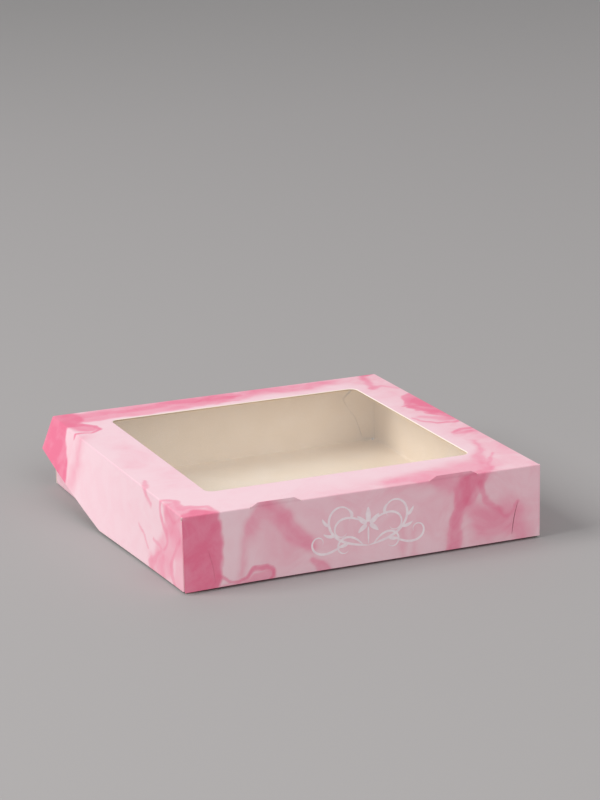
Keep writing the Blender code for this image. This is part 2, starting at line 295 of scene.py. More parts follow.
# Broad washes of thinned ink under the strokes, written the same way.
WASHES = (
    (0.17, 14, ((75, -6, 16), (110, -10, 20), (150, -16, 22), (195, -20, 24))),
    (0.14, 10, ((60, -34, 6), (90, -30, 8))),
    (0.24, 12, ((196, 10, 10), (196, 60, 10), (194, 120, 12), (190, 196, 12))),
    (0.30, 10, ((80, 196, 8), (130, 200, 10), (190, 200, 10))),
    (0.16, 12, ((-20, 185, 14), (-16, 160, 12))),
    (0.14, 9, ((10, 94, 6), (20, 110, 6), (14, 130, 5))),
    (0.12, 9, ((20, 80, 5), (19, 50, 6))),
    (0.30, 12, ((210, 40, 14), (222, 100, 14), (216, 170, 14))),
    (0.28, 14, ((20, 225, 12), (100, 222, 14), (180, 226, 12))),
    (0.28, 20, ((40, 300, 30), (120, 340, 36), (150, 420, 26), (100, 470, 20))),
    (0.34, 12, ((-20, 250, 14), (-20, 400, 14))),
    (0.25, 12, ((222, 300, 14), (222, 400, 14))),
)


DRIFT_LENGTHS = (46, 21, 9.5, 4.3)     # mm between the swings of a wandering edge
DRIFT_REACH = 0.035                    # how far it swings, as a share of that
CREASE_SCUFF_AND_SHADE = 0.7                      # mm on each side of a crease where the print is scuffed and darkened with painted shade


def drift(place):
    """Moves places by a sum of sine waves, so that ink edges wander. A wave swings by its reach
    times its length, along a direction that turns from wave to wave, and its phase is bent by a
    sine of half its pace across that direction."""
    moved = place.copy()
    for turn, length in enumerate(DRIFT_LENGTHS):
        pace, swing = 2 * math.pi / length, DRIFT_REACH * length
        angle = 0.7 + 1.9 * turn
        along = pace * (place[..., 0] * math.cos(angle) + place[..., 1] * math.sin(angle))
        across = pace * (place[..., 1] * math.cos(angle) - place[..., 0] * math.sin(angle))
        moved[..., 0] += swing * np.sin(along + 1.3 * turn + 1.7 * np.sin(across / 2))
        moved[..., 1] += swing * np.cos(across + 2.1 * turn + 1.5 * np.sin(along / 2))
    return moved


def ink_of(strokes, place):
    """The amount of ink at places in mm on the blank. Each stroke is a line of overlapping discs:
    with d the distance to its middle line and r the half width there, it gives its strength
    times a smooth step of (r - d) / softness. Strokes lie over each other as washes do."""
    bare = np.ones(place.shape[:-1])
    for strength, soft, points in strokes:
        points = np.array(points, float)
        cover = np.full(bare.shape, -1e3)
        for (x0, y0, r0), (x1, y1, r1) in zip(points[:-1], points[1:]):
            run = np.array((x1 - x0, y1 - y0))
            share = np.clip(((place - (x0, y0)) @ run) / (run @ run), 0, 1)
            gap = np.hypot(place[..., 0] - x0 - share * run[0], place[..., 1] - y0 - share * run[1])
            cover = np.maximum(cover, r0 + share * (r1 - r0) - gap)
        step = np.clip(cover / (2 * soft) + 0.5, 0, 1)
        bare *= 1 - strength * step * step * (3 - 2 * step)
    return 1 - bare


def blank_in_mm(tree):
    """Where a point lies on the flat blank, in mm."""
    blank_map = add_node(tree, "ShaderNodeUVMap", uv_map="blank")
    return add_node(tree, "ShaderNodeVectorMath",
                    {0: blank_map.outputs[0], 1: (1000, 1000, 1000)},
                    operation="MULTIPLY").outputs[0]


# Offset print under a matte film: soft even pinks with no sharp shine. The marble has clouds
# about 22 mm across and a grain of 3 mm. The film's own texture, some 0.02 mm, is too fine to
# show, so it is drawn as flecks of 0.7 mm.
printed_board, tree, shader = new_material("matte_laminated_print")
in_mm = blank_in_mm(tree)
ink, wash, scuff_and_shade = (add_node(tree, "ShaderNodeAttribute", attribute_name=layer).outputs["Fac"]
                   for layer in ("ink", "wash", "scuff_and_shade"))
smoke = noise(tree, in_mm, 0.045, 5, Roughness=0.6, Distortion=1.6)
grain = noise(tree, in_mm, 0.35, 4, Roughness=0.65)
# ink thins and thickens with the smoke, and its edge is broken up by the grain
thick = ranged(tree, smoke, 0.3, 0.7, 0.80, 1.12)
broken = maths(tree, "MULTIPLY_ADD", grain, 0.14, -0.07)
wet = maths(tree, "MULTIPLY_ADD", ink, broken, ink)
rim = tones(tree, wet, ((0.0, "000000"), (0.16, "000000"), (0.30, "8A8A8A"), (0.42, "303030"),
                        (1.0, "000000")))
pooled = maths(tree, "MULTIPLY_ADD", rim, 0.30, wet)
laid = maths(tree, "MULTIPLY", pooled, thick)
# thinned ink stains the ground under the strokes
veil = maths(tree, "MULTIPLY", wash, smoke)
drifts = ranged(tree, smoke, 0.42, 0.75, 0.0, 0.08)
stained = maths(tree, "MULTIPLY_ADD", veil, 1.5, drifts)
depth = add_node(tree, "ShaderNodeMath", {0: stained, 1: laid}, operation="ADD",
                 use_clamp=True).outputs[0]
pinks = tones(tree, depth, ((0.0, "F6D3DB"), (0.22, "F3BFCB"), (0.45, "F2A8BB"),
                            (0.72, "EF8EA8"), (1.0, "EC7696")))
# the creases are scuffed in flecks and darkened, partly painted shade that tones down the light the
# rounded folds catch
flecks = noise(tree, in_mm, 1.4, 3)
flecked_scuff_and_shade = maths(tree, "MULTIPLY", scuff_and_shade, flecks)
scuff_and_shade_fac = ranged(tree, flecked_scuff_and_shade, 0.1, 0.5, 0.0, 0.4)
# multiplied darker at the creases: scuffing, and painted shade over the folds' highlight
colour = add_node(tree, "ShaderNodeMix", {0: scuff_and_shade_fac, 6: pinks, 7: linear("EBDADF")},
                  data_type="RGBA", blend_type="MULTIPLY")
tree.links.new(colour.outputs[2], shader.inputs["Base Color"])
haze = ranged(tree, grain, 0.0, 1.0, 0.40, 0.52)
tree.links.new(haze, shader.inputs["Roughness"])
shader.inputs["IOR"].default_value = 1.48
shader.inputs["Specular IOR Level"].default_value = 0.4
dimple = add_node(tree, "ShaderNodeBump", {"Height": flecks, "Strength": 0.10,
                                           "Distance": 0.00005}).outputs[0]
tree.links.new(dimple, shader.inputs["Normal"])

# The back of the board is bare pulp: warm, fully matte and a little cloudy, over 20 mm or so.
# Its fibres are 0.03 mm thick, too fine to show, so they are drawn about 1 mm across.
uncoated_back, tree, shader = new_material("uncoated_cream_board")
in_mm = blank_in_mm(tree)
clouds = noise(tree, in_mm, 0.05, 4)
fibres = noise(tree, in_mm, 1.1, 5, Roughness=0.7)
pulp = maths(tree, "MULTIPLY_ADD", clouds, 0.6, fibres)
creams = tones(tree, pulp, ((0.45, "F2E1C8"), (0.80, "FAEAD5"), (1.0, "FDF1E2")))
tree.links.new(creams, shader.inputs["Base Color"])
shader.inputs["Roughness"].default_value = 0.85
shader.inputs["Specular IOR Level"].default_value = 0.3
fuzz = add_node(tree, "ShaderNodeBump", {"Height": fibres, "Strength": 0.25,
                                         "Distance": 0.0001}).outputs[0]
tree.links.new(fuzz, shader.inputs["Normal"])

# Die cutting bares the board's core: a thin matte line, paler than either face, with the
# plies showing as specks of 0.4 mm.
cut_edge, tree, shader = new_material("cut_board_edge")
where = add_node(tree, "ShaderNodeTexCoord").outputs["Object"]
plies = noise(tree, where, 2500, 3)
edge_tones = tones(tree, plies, ((0.3, "FBEADF"), (0.7, "FFF9F0")))
tree.links.new(edge_tones, shader.inputs["Base Color"])
shader.inputs["Roughness"].default_value = 0.8
shader.inputs["Specular IOR Level"].default_value = 0.3


def grid_lines(low, high, step, marks=()):
    """Positions from low to high about step apart, with one exactly on each mark in between."""
    stops = sorted({low, high, *(mark for mark in marks if low < mark < high)})
    return np.unique(np.concatenate([np.linspace(a, b, math.ceil((b - a) / step - 1e-9) + 1)
                                     for a, b in zip(stops, stops[1:])]))


def patch(points, facing, blank, keep=None):
    """A grid of points on the printed face with its outward direction, its place on the blank in
    mm and the cells that are board. A cell is the four corner numbers (i, j), (i + 1, j),
    (i + 1, j + 1), (i, j + 1)."""
    rows, columns = points.shape[:2]
    first = (np.arange(rows - 1)[:, None] * columns + np.arange(columns - 1)).ravel()
    quads = np.stack([first, first + 1, first + columns + 1, first + columns], 1)
    if keep is not None:
        quads = quads[keep.ravel()]
    return (points.reshape(-1, 3), np.broadcast_to(facing, points.shape).reshape(-1, 3),
            blank.reshape(-1, 2), quads)


def fold(corner, to_a, to_b, blank_a, blank_b, reach=FOLD):
    """The rounded crease between two panels, as a patch. corner is the line Q where their faces
    would meet, and to_a and to_b are the directions from it along the panels. The profile is
    (1 - s)^2 A + 2 s (1 - s) Q + s^2 B, with A and B on the panels, reach away from Q. It faces
    along -(to_a + to_b) less the share of that which lies along the profile."""
    s = np.linspace(0, 1, BEND_POINTS)[:, None, None]
    to_a, to_b = np.broadcast_to(to_a, corner.shape), np.broadcast_to(to_b, corner.shape)
    end_a, end_b = corner + reach * to_a, corner + reach * to_b
    profile = (1 - s) ** 2 * end_a + 2 * s * (1 - s) * corner + s ** 2 * end_b
    run = s * to_b - (1 - s) * to_a
    run = run / np.linalg.norm(run, axis=2, keepdims=True)
    away = -(to_a + to_b)
    facing = away - (away * run).sum(2, keepdims=True) * run
    return patch(profile, facing, (1 - s) * blank_a + s * blank_b)


SEWN_WITHIN = 1e-7     # points this near to each other are one


def board(name, patches, thickness=BOARD, finishes=(printed_board, uncoated_back, cut_edge)):
    """A closed shell of board. Its printed face is the patches, sewn where their points meet.
    Its inside face is each point moved back by the thickness, and a cut edge (b, a, a', b')
    closes it along each side a-b that has a cell on one side only. A cell with two corners in
    one place becomes a triangle, and one with less left of it is dropped."""
    counts = np.cumsum([0] + [len(part[0]) for part in patches])
    outer, facing, blank = (np.concatenate([part[i] for part in patches]) for i in range(3))
    quads = np.concatenate([part[3] + count for part, count in zip(patches, counts)])
    _, first, sewn = np.unique(np.round(outer / SEWN_WITHIN).astype(np.int64), axis=0,
                               return_index=True, return_inverse=True)
    quads = first[sewn.reshape(-1)[quads]]
    same = quads == np.roll(quads, -1, axis=1)
    crossed = (quads[:, 0] == quads[:, 2]) | (quads[:, 1] == quads[:, 3])
    whole = quads[~same.any(1) & ~crossed]
    pinched = quads[(same.sum(1) == 1) & ~crossed]
    pinch = same[(same.sum(1) == 1) & ~crossed].argmax(1)[:, None]
    pinched = np.take_along_axis(pinched, (pinch + 1 + np.arange(3)) % 4, axis=1)
    used = np.unique(np.concatenate([whole.ravel(), pinched.ravel()]))
    outer, facing, blank = outer[used], facing[used], blank[used]
    facing = facing / np.linalg.norm(facing, axis=1, keepdims=True)
    faces = []
    for corners in (np.searchsorted(used, whole), np.searchsorted(used, pinched)):
        across = np.cross(outer[corners[:, 2]] - outer[corners[:, 0]],
                          outer[corners[:, -1]] - outer[corners[:, 1]])
        wrong = (across * facing[corners[:, 0]]).sum(1) < 0
        corners[wrong] = corners[wrong, ::-1]
        faces.append(corners)
    count = len(outer)
    a = np.concatenate([corners.ravel() for corners in faces])
    b = np.concatenate([np.roll(corners, -1, axis=1).ravel() for corners in faces])
    open_side = ~np.isin(a * count + b, b * count + a)
    a, b = a[open_side], b[open_side]
    all_faces = [*faces[0].tolist(), *faces[1].tolist(),
                 *(faces[0][:, ::-1] + count).tolist(), *(faces[1][:, ::-1] + count).tolist(),
                 *np.stack([b, a, a + count, b + count], 1).tolist()]
    mesh = bpy.data.meshes.new(name)
    mesh.from_pydata(np.concatenate([outer, outer - facing * thickness]), [], all_faces)
    shown = len(faces[0]) + len(faces[1])
    mesh.polygons.foreach_set("material_index", np.repeat([0, 1, 2], [shown, shown, len(a)]))
    for finish in finishes:
        mesh.materials.append(finish)
    corner_points = np.empty(len(mesh.loops), np.int32)
    mesh.loops.foreach_get("vertex_index", corner_points)
    mesh.uv_layers.new(name="blank").data.foreach_set(
        "uv", (blank[corner_points % count] * MM).astype(np.float32).ravel())
    if printed_board in finishes:
        spread = drift(blank)
        creased = np.min([abs(blank[:, 0]), abs(blank[:, 0] - BLANK_WIDTH), abs(blank[:, 1]),
                          abs(blank[:, 1] - BLANK_DEPTH)], axis=0)
        for layer, amount in (("ink", ink_of(STROKES, spread)), ("wash", ink_of(WASHES, spread)),
                              ("scuff_and_shade", np.exp(-(creased / CREASE_SCUFF_AND_SHADE) ** 2))):
            mesh.attributes.new(layer, "FLOAT", "POINT").data.foreach_set(
                "value", np.tile(amount, 2).astype(np.float32))
    mesh.shade_smooth()
    mesh.set_sharp_from_angle(angle=math.radians(35))
    piece = bpy.data.objects.new(name, mesh)
    bpy.context.scene.collection.objects.link(piece)
    return piece


# ------------------------------------------------------------
# The tray: the bottom and four walls of the same board, print outside and bare board inside. The
# walls are folded up at creases, and the front and back walls have slanted hook slits.
COARSE = 1.6 * MM      # cells of panels that little is seen of
FINE = 0.8 * MM        # cells of panels whose print is seen
TRAY_FOLD = 2.0 * MM   # the foot of the front and side walls is bent rounder, so it lies in shade
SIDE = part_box("tray_left_wall")[0].x             # outer faces of the tray
WALL_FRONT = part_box("tray_front_wall")[0].y
WALL_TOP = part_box("tray_front_wall")[1].z
TURNED = 2 * BACK + TOP      # the bottom lies on the blank beyond the back wall, back edge first
SLIT_LEAN = 12 * MM    # grid lines this near to a slit lean along with it
# a slit: how far its two ends lie from the panel's end, how far below the lid, and its bow
WALL_SLITS = (21.5 * MM, 13.5 * MM), (12.0 * MM, 6.2 * MM), 0.0
UP, DOWN = np.array((0, 0, 1.0)), np.array((0, 0, -1.0))
TO_RIGHT, TO_LEFT = np.array((1.0, 0, 0)), np.array((-1.0, 0, 0))
TO_BACK, TO_FRONT = np.array((0, 1.0, 0)), np.array((0, -1.0, 0))


def slit_panel(low, high, top, foot, slits, step, marks=(), gapes=(0.2 * MM, 0.2 * MM)):
    """The x and depth below the lid of a panel's grid with one slit near each end, and the cells
    that are board. Two grid lines lie on each slit's middle line, which is straight with a bow
    of b sin(pi s), and open by +-w sqrt(1 - (2 s - 1)^2). The lines beside them lean along."""
    ends, depths, bow = slits
    middle = sum(ends) / 2
    x = grid_lines(low, high, step, (LEFT + middle, RIGHT - middle, *marks))
    x = np.sort(np.concatenate([x, [LEFT + middle, RIGHT - middle]]))
    depth = grid_lines(top, foot, step, sorted(depths))
    s = (depth - depths[0]) / (depths[1] - depths[0])
    inside = np.clip(s, 0, 1)
    lean = ends[0] + inside * (ends[1] - ends[0]) + bow * np.sin(math.pi * inside) - middle
    oval = np.sqrt(np.clip(1 - (2 * s - 1) ** 2, 0, 1))
    grid_x = np.tile(x, (len(depth), 1))
    keep = np.ones((len(depth) - 1, len(x) - 1), bool)
    for sign, line, gape in ((1, LEFT + middle, gapes[0]), (-1, RIGHT - middle, gapes[1])):
        grid_x += sign * lean[:, None] * np.clip(1 - abs(x - line) / SLIT_LEAN, 0, 1)
        first = np.searchsorted(x, line)
        grid_x[:, first] -= oval * gape / 2
        grid_x[:, first + 1] += oval * gape / 2
        keep[:, first] = False
    return grid_x, np.tile(depth[:, None], (1, len(x))), keep


def laid_out(*coordinates):
    """Coordinates of different shapes, broadcast together and stacked."""
    return np.stack(np.broadcast_arrays(*coordinates), -1).astype(float)


def on_blank(x, y):
    """A place on the blank in mm, from metres right of the left side and back from the front."""
    return laid_out((x - LEFT) / MM, (y - FRONT) / MM)


x = grid_lines(SIDE + TRAY_FOLD, -SIDE - TRAY_FOLD, COARSE)
y = grid_lines(WALL_FRONT + TRAY_FOLD, BACK - FOLD, COARSE)[:, None]
bottom = board("tray_bottom_board", [patch(laid_out(x, y, 0), DOWN, on_blank(x, TURNED - y))])
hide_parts("tray_bottom")
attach(bottom, "tray")

x, depth, keep = slit_panel(SIDE, -SIDE, TOP - WALL_TOP, TOP - TRAY_FOLD, WALL_SLITS, COARSE)
front_wall = board("tray_front_board", [
    patch(laid_out(x, WALL_FRONT, TOP - depth), TO_FRONT,
          on_blank(x, TURNED - WALL_FRONT + TOP - depth), keep)])
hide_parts("tray_front_wall")
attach(front_wall, "tray")

x, depth, keep = slit_panel(LEFT + LAYER, RIGHT - LAYER, FOLD, TOP - FOLD, WALL_SLITS, COARSE,
                            gapes=(0.3 * MM, 0.3 * MM))
back_wall = board("tray_back_board", [
    patch(laid_out(x, BACK, TOP - depth), TO_BACK, on_blank(x, BACK + depth), keep)])
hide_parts("tray_back_wall")
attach(back_wall, "tray")

EAR_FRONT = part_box("tray_front_left_ear")[0].y      # outer faces of the ears
EAR_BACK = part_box("tray_back_left_ear")[1].y
y = grid_lines(EAR_FRONT + FOLD, EAR_BACK - FOLD, COARSE)
depth = grid_lines(TOP - WALL_TOP, TOP - TRAY_FOLD, COARSE)[:, None]
for side, sign in (("left", 1), ("right", -1)):
    wall = board(f"tray_{side}_board", [
        patch(laid_out(sign * SIDE, y, TOP - depth), sign * TO_LEFT,
              on_blank(sign * (LEFT - TOP + depth), TURNED - y))])
    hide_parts(f"tray_{side}_wall")
    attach(wall, "tray")

# ------------------------------------------------------------
# Four ears on the tray's side walls, folded in behind the end walls. Each tapers downwards along
# a waisted edge, so that it slides in without catching.
EAR_REACH = ((0, 1.2), (13.3, 7.0), (20.6, 12.7), (17.4, 18.6), (12.9, 24.1), (10.4, 31.0),
             (8.0, 38.5), (0, 39.0))     # mm from the wall's outer face, and down from the lid
EAR_POINTS = 19      # grid points from an ear's fold to its edge


def ear_grid(reach, step):
    """How far each grid point of an ear lies from its fold and down from the lid. At each depth
    the points run evenly from the fold to the edge, which is straight between its corners, each
    corner rounded by (1 - s)^2 A + 2 s (1 - s) Q + s^2 B a fifth of the way along its sides."""
    corners = np.array(reach) * MM
    s = np.linspace(0, 1, BEND_POINTS)[:, None, None]
    before = corners[1:-1] + (corners[:-2] - corners[1:-1]) * 0.2
    after = corners[1:-1] + (corners[2:] - corners[1:-1]) * 0.2
    bends = (1 - s) ** 2 * before + 2 * s * (1 - s) * corners[1:-1] + s ** 2 * after
    edge = np.concatenate([corners[:1], bends.transpose(1, 0, 2).reshape(-1, 2), corners[-1:]])
    shoulder = edge[:BEND_POINTS + 1]
    top = np.interp(FOLD, shoulder[:, 0], shoulder[:, 1])
    depth = grid_lines(top, corners[-1, 1] - 0.1 * MM, step)[:, None]
    width = np.interp(depth, edge[:, 1], edge[:, 0])
    return (FOLD + (width - FOLD) * np.linspace(0, 1, EAR_POINTS),
            np.tile(depth, (1, EAR_POINTS)))


reach, depth = ear_grid(EAR_REACH, COARSE)
fold_depth = grid_lines(depth[0, 0], depth[-1, 0], COARSE)
tray_folds = []
for side, sign in (("left", 1), ("right", -1)):
    x = sign * (SIDE + reach)
    blank_x = sign * (LEFT - TOP + depth)
    fold_x = sign * (LEFT - TOP + fold_depth)
    inward = sign * TO_RIGHT
    for end, y, outward, growth in (("front", EAR_FRONT, TO_FRONT, 1),
                                    ("back", EAR_BACK, TO_BACK, -1)):
        blank_y = TURNED - y
        ear = board(f"tray_{end}_{side}_ear_board", [
            patch(laid_out(x, y, TOP - depth), outward,
                  on_blank(blank_x, blank_y + growth * reach))])
        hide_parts(f"tray_{end}_{side}_ear")
        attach(ear, "tray")
        tray_folds.append(fold(laid_out(sign * SIDE, y, TOP - fold_depth), -outward, inward,
                               on_blank(fold_x, blank_y - growth * FOLD),
                               on_blank(fold_x, blank_y + growth * FOLD)))
    y = grid_lines(EAR_FRONT + FOLD, EAR_BACK - FOLD, COARSE)
    tray_folds.append(fold(laid_out(sign * SIDE, y, 0), inward, UP,
                           on_blank(sign * (SIDE + TRAY_FOLD), TURNED - y),
                           on_blank(sign * (LEFT - TRAY_FOLD), TURNED - y), TRAY_FOLD))
x = grid_lines(SIDE + TRAY_FOLD, -SIDE - TRAY_FOLD, COARSE)
tray_folds.append(fold(laid_out(x, WALL_FRONT, 0), TO_BACK, UP,
                       on_blank(x, TURNED - WALL_FRONT - TRAY_FOLD),
                       on_blank(x, TURNED - WALL_FRONT + TRAY_FOLD), TRAY_FOLD))
tray_folds.append(fold(laid_out(x, BACK, 0), TO_FRONT, UP,
                       on_blank(x, TURNED - BACK + FOLD), on_blank(x, TURNED - BACK - FOLD)))
creases = board("tray_creases", tray_folds)
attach(creases, "tray")

# ------------------------------------------------------------
# The lid: one panel with a large die-cut window with rounded corners, hinged on the crease
# along the back wall. Two slots stand open at its front fold, where the strips were cut out.
WINDOW_LOW = np.array((-73.9, -69.3)) * MM
WINDOW_HIGH = np.array((76.1, 78.7)) * MM
WINDOW_ROUNDING, ROUNDING_POINTS = 4.8 * MM, 13
STRIP_CENTRES = (-49.7 * MM, 49.7 * MM)
SLOT_BASE, SLOT_CREST, SLOT_DEPTH = 27.6 * MM, 20.4 * MM, 2.4 * MM
SLOT_LEAN = 8 * MM      # grid lines this near to a slot's end lean along with it
LID_BOW = 0.2 * MM      # the margins rise this far between the creases
CUT_FLARE, CUT_FLARE_REACH = 0.9, 1.6 * MM


def lid_height(x, y):
    """The lid's printed face: TOP + bow sin(pi u) sin(pi v), flat along all four folds."""
    u, v = (x - LEFT) / (RIGHT - LEFT), (y - FRONT) / (BACK - FRONT)
    return TOP + LID_BOW * np.sin(math.pi * np.clip(u, 0, 1)) * np.sin(math.pi * np.clip(v, 0, 1))


def lid_patch(x, y, keep=None):
    """A patch of the lid. The knife crushes the board at the window, so the cut edge leans into the
    opening there: the facing is up + flare (1 - d / reach) away, with d the distance from the
    window and away the direction from it."""
    height = lid_height(x, y)
    place = laid_out(x, y, height)
    off = place[..., :2] - np.clip(place[..., :2], WINDOW_LOW + WINDOW_ROUNDING,
                                   WINDOW_HIGH - WINDOW_ROUNDING)
    gap = np.linalg.norm(off, axis=-1, keepdims=True)
    lean = CUT_FLARE * np.clip(1 - (gap - WINDOW_ROUNDING) / CUT_FLARE_REACH, 0, 1)
    facing = np.concatenate([lean * off / np.maximum(gap, 1e-9), np.ones_like(gap)], -1)
    return patch(place, facing, on_blank(x, y), keep)


slot_ends = [centre + side * SLOT_BASE / 2 for centre in STRIP_CENTRES for side in (-1, 1)]
window_lines = np.sort([WINDOW_LOW, WINDOW_LOW + WINDOW_ROUNDING, WINDOW_HIGH - WINDOW_ROUNDING,
                        WINDOW_HIGH], axis=0)
x = grid_lines(LEFT + FOLD, RIGHT - FOLD, FINE, [*slot_ends, *window_lines[:, 0]])
y = grid_lines(FRONT + FOLD, BACK - FOLD, FINE, [FRONT + SLOT_DEPTH, *window_lines[:, 1]])[:, None]
middle_x, middle_y = (x[:-1] + x[1:]) / 2, (y[:-1] + y[1:]) / 2
in_window = ((middle_x > WINDOW_LOW[0]) & (middle_x < WINDOW_HIGH[0])
             & (middle_y > WINDOW_LOW[1]) & (middle_y < WINDOW_HIGH[1]))
in_slot = middle_y < FRONT + SLOT_DEPTH
in_slot = in_slot & (np.min([abs(middle_x - centre) for centre in STRIP_CENTRES], axis=0)
                     < SLOT_BASE / 2)
# a slot narrows to its inner edge, and its lean fades over three more slot depths
climb = (y - FRONT) / SLOT_DEPTH
slant = (SLOT_BASE - SLOT_CREST) / 2 * np.clip(np.minimum(climb, (4 - climb) / 3), 0, 1)
lid_x = np.tile(x, (len(y), 1))
for centre in STRIP_CENTRES:
    for side in (-1, 1):
        slot_end = centre + side * SLOT_BASE / 2
        lid_x -= side * slant * np.clip(1 - abs(x - slot_end) / SLOT_LEAN, 0, 1)
lid_patches = [lid_patch(lid_x, y, ~(in_window | in_slot))]
ray = np.linspace(0, 1, math.ceil(WINDOW_ROUNDING / FINE - 1e-9) + 1)[:, None]
swing = np.linspace(0, math.pi / 2, ROUNDING_POINTS)
for corner_x, way_x in ((WINDOW_LOW[0], 1), (WINDOW_HIGH[0], -1)):
    for corner_y, way_y in ((WINDOW_LOW[1], 1), (WINDOW_HIGH[1], -1)):
        x = corner_x + way_x * WINDOW_ROUNDING * ray * (1 - np.sin(swing))
        y = corner_y + way_y * WINDOW_ROUNDING * ray * (1 - np.cos(swing))
        lid_patches.append(lid_patch(x, y))
lid = board("lid_panel", lid_patches)
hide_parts("lid_top")
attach(lid, "lid")

x = grid_lines(LEFT + FOLD, RIGHT - FOLD, FINE)
back_crease = board("lid_back_crease", [
    fold(laid_out(x, BACK, TOP), DOWN, TO_FRONT,
         on_blank(x, BACK + FOLD), on_blank(x, BACK - FOLD))])
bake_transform(back_crease)

# ------------------------------------------------------------
# The window: clear PET film under the opening, held by a line of clear glue. The film is thin, so
# it waves a little between the glue lines and its shine wavers.
FILM_LOW, FILM_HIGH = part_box("window_film")
FILM_WAVE = 0.12 * MM

# Clear PET: glossy. A faint pale veil, a painted reflection of the bright room, lightens what lies
# under it. Smears of 22 mm vary its shine.
clear_film, tree, shader = new_material("clear_pet_window_film")
# the pale base colour at partial opacity is painted reflection haze over the window
shader.inputs["Base Color"].default_value = linear("F6F0E8")
shader.inputs["Alpha"].default_value = 0.14
shader.inputs["IOR"].default_value = 1.57
where = add_node(tree, "ShaderNodeTexCoord").outputs["Object"]
smears = noise(tree, where, 45, 3)
smeared = ranged(tree, smears, 0.0, 1.0, 0.04, 0.12)
tree.links.new(smeared, shader.inputs["Roughness"])

x = grid_lines(FILM_LOW.x, FILM_HIGH.x, 2 * COARSE)
y = grid_lines(FILM_LOW.y, FILM_HIGH.y, 2 * COARSE)[:, None]
u, v = (x - FILM_LOW.x) / (FILM_HIGH.x - FILM_LOW.x), (y - FILM_LOW.y) / (FILM_HIGH.y - FILM_LOW.y)
# flat where the glue holds it, and free from about a fifth of the way in
held = (np.clip(6 * np.minimum(u, 1 - u) - 0.4, 0, 1)
        * np.clip(6 * np.minimum(v, 1 - v) - 0.4, 0, 1))
wave = FILM_WAVE * held * (np.sin(9 * u + 4 * v) + np.sin(13 * v - 5 * u + 1))
film = board("window_film_sheet", [patch(laid_out(x, y, FILM_HIGH.z + wave), UP, on_blank(x, y))],
             thickness=FILM_HIGH.z - FILM_LOW.z, finishes=(clear_film,) * 3)
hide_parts("window_film")
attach(film, "lid")

# Hot melt glue, laid as a line and pressed flat: clear and wet-looking, with beads of 3 mm.
clear_glue, tree, shader = new_material("clear_hot_melt_glue")
shader.inputs["Base Color"].default_value = linear("EFE6DA")
shader.inputs["IOR"].default_value = 1.47
where = add_node(tree, "ShaderNodeTexCoord").outputs["Object"]
beads = noise(tree, where, 300, 2)
beaded = ranged(tree, beads, 0.0, 1.0, 0.15, 0.35)
tree.links.new(beaded, shader.inputs["Roughness"])
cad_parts["window_glue_line"].material_slots[0].material = clear_glue

# ------------------------------------------------------------
# The front flap: folded down over the tray's front wall, with a curved hook slit near each end.
# Two strips stay in its plane and stand up past the fold. Its left end springs forward a little.
# The knife has dragged ink over its edge, so the edge takes the colour of the print beside it.
FOOT_GAP = 0.75 * MM      # the foot ends this far above the lowest point it may reach
FLAP_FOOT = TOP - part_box("lid_front_flap")[0].z - FOOT_GAP
STRIP_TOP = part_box("lid_front_flap")[1].z
STRIP_BASE, STRIP_CREST = 27.0 * MM, 19.8 * MM
FLAP_SLITS = (12.9 * MM, 16.5 * MM), (18.0 * MM, 36.7 * MM), 0.6 * MM
SPRING, SPRING_REACH = 1.6 * MM, 60 * MM


def flap_face(x, depth):
    """How far back the front flap's face lies: FRONT - spring (1 - u)^2 d, with u the share of
    the way from the left end to where the spring fades and d the share of the flap's height."""
    fade = np.clip(1 - (x - LEFT) / SPRING_REACH, 0, 1)
    return FRONT - SPRING * fade ** 2 * np.clip(depth / FLAP_FOOT, 0, 1)


strip_ends = [centre + side * STRIP_BASE / 2 for centre in STRIP_CENTRES for side in (-1, 1)]
x, depth, keep = slit_panel(LEFT, RIGHT, FOLD, FLAP_FOOT, FLAP_SLITS, FINE, strip_ends,
                            gapes=(0.1 * MM, 0.4 * MM))
flap_patches = [patch(laid_out(x, flap_face(x, depth), TOP - depth), TO_FRONT,
                      on_blank(x, FRONT - depth), keep)]
rise = grid_lines(-FOLD, STRIP_TOP - TOP, FINE, (0.0,))[:, None]
narrowing = 1 - np.clip(rise / (STRIP_TOP - TOP), 0, 1) * (1 - STRIP_CREST / STRIP_BASE)
crease_ends = [LEFT]
for centre in STRIP_CENTRES:
    base = x[0][abs(x[0] - centre) < STRIP_BASE / 2 + FINE / 10]
    strip_x = centre + (base - centre) * narrowing
    flap_patches.append(patch(laid_out(strip_x, flap_face(strip_x, -rise), TOP + rise), TO_FRONT,
                              on_blank(strip_x, FRONT + rise)))
    crease_ends += [centre - SLOT_BASE / 2, centre + SLOT_BASE / 2]
crease_ends.append(RIGHT)
front_flap = board("front_flap_board", flap_patches,
                   finishes=(printed_board, uncoated_back, printed_board))
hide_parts("lid_front_flap")
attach(front_flap, "front_flap")

crease_lines = [grid_lines(low, high, FINE)
                for low, high in zip(crease_ends[::2], crease_ends[1::2])]
front_crease = board("front_flap_crease", [
    fold(laid_out(x, FRONT, TOP), TO_BACK, DOWN,
         on_blank(x, FRONT + FOLD), on_blank(x, FRONT - FOLD))
    for x in crease_lines])
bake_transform(front_crease)

# ------------------------------------------------------------
# The side flaps of the lid, and the ears on their front ends that lie behind the front flap.
# Each flap is cut away towards the rear. The left one has sprung outwards and is twisted by it.
FLAP_FRONT = FRONT + LAYER                       # plane of the ears
FLAP_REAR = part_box("lid_right_flap")[1].y
FLAP_REACH, REAR_REACH = 39.3 * MM, 19.0 * MM
TAPER_FROM = FRONT + 110 * MM
LEFT_TWIST = math.radians(12.5), math.radians(9.0)    # its steady and its squared share
LID_EAR_REACH = ((0.3, 1.8), (12.7, 17.8), (16.4, 35.5), (13.5, 38.5), (0.3, 39.2))


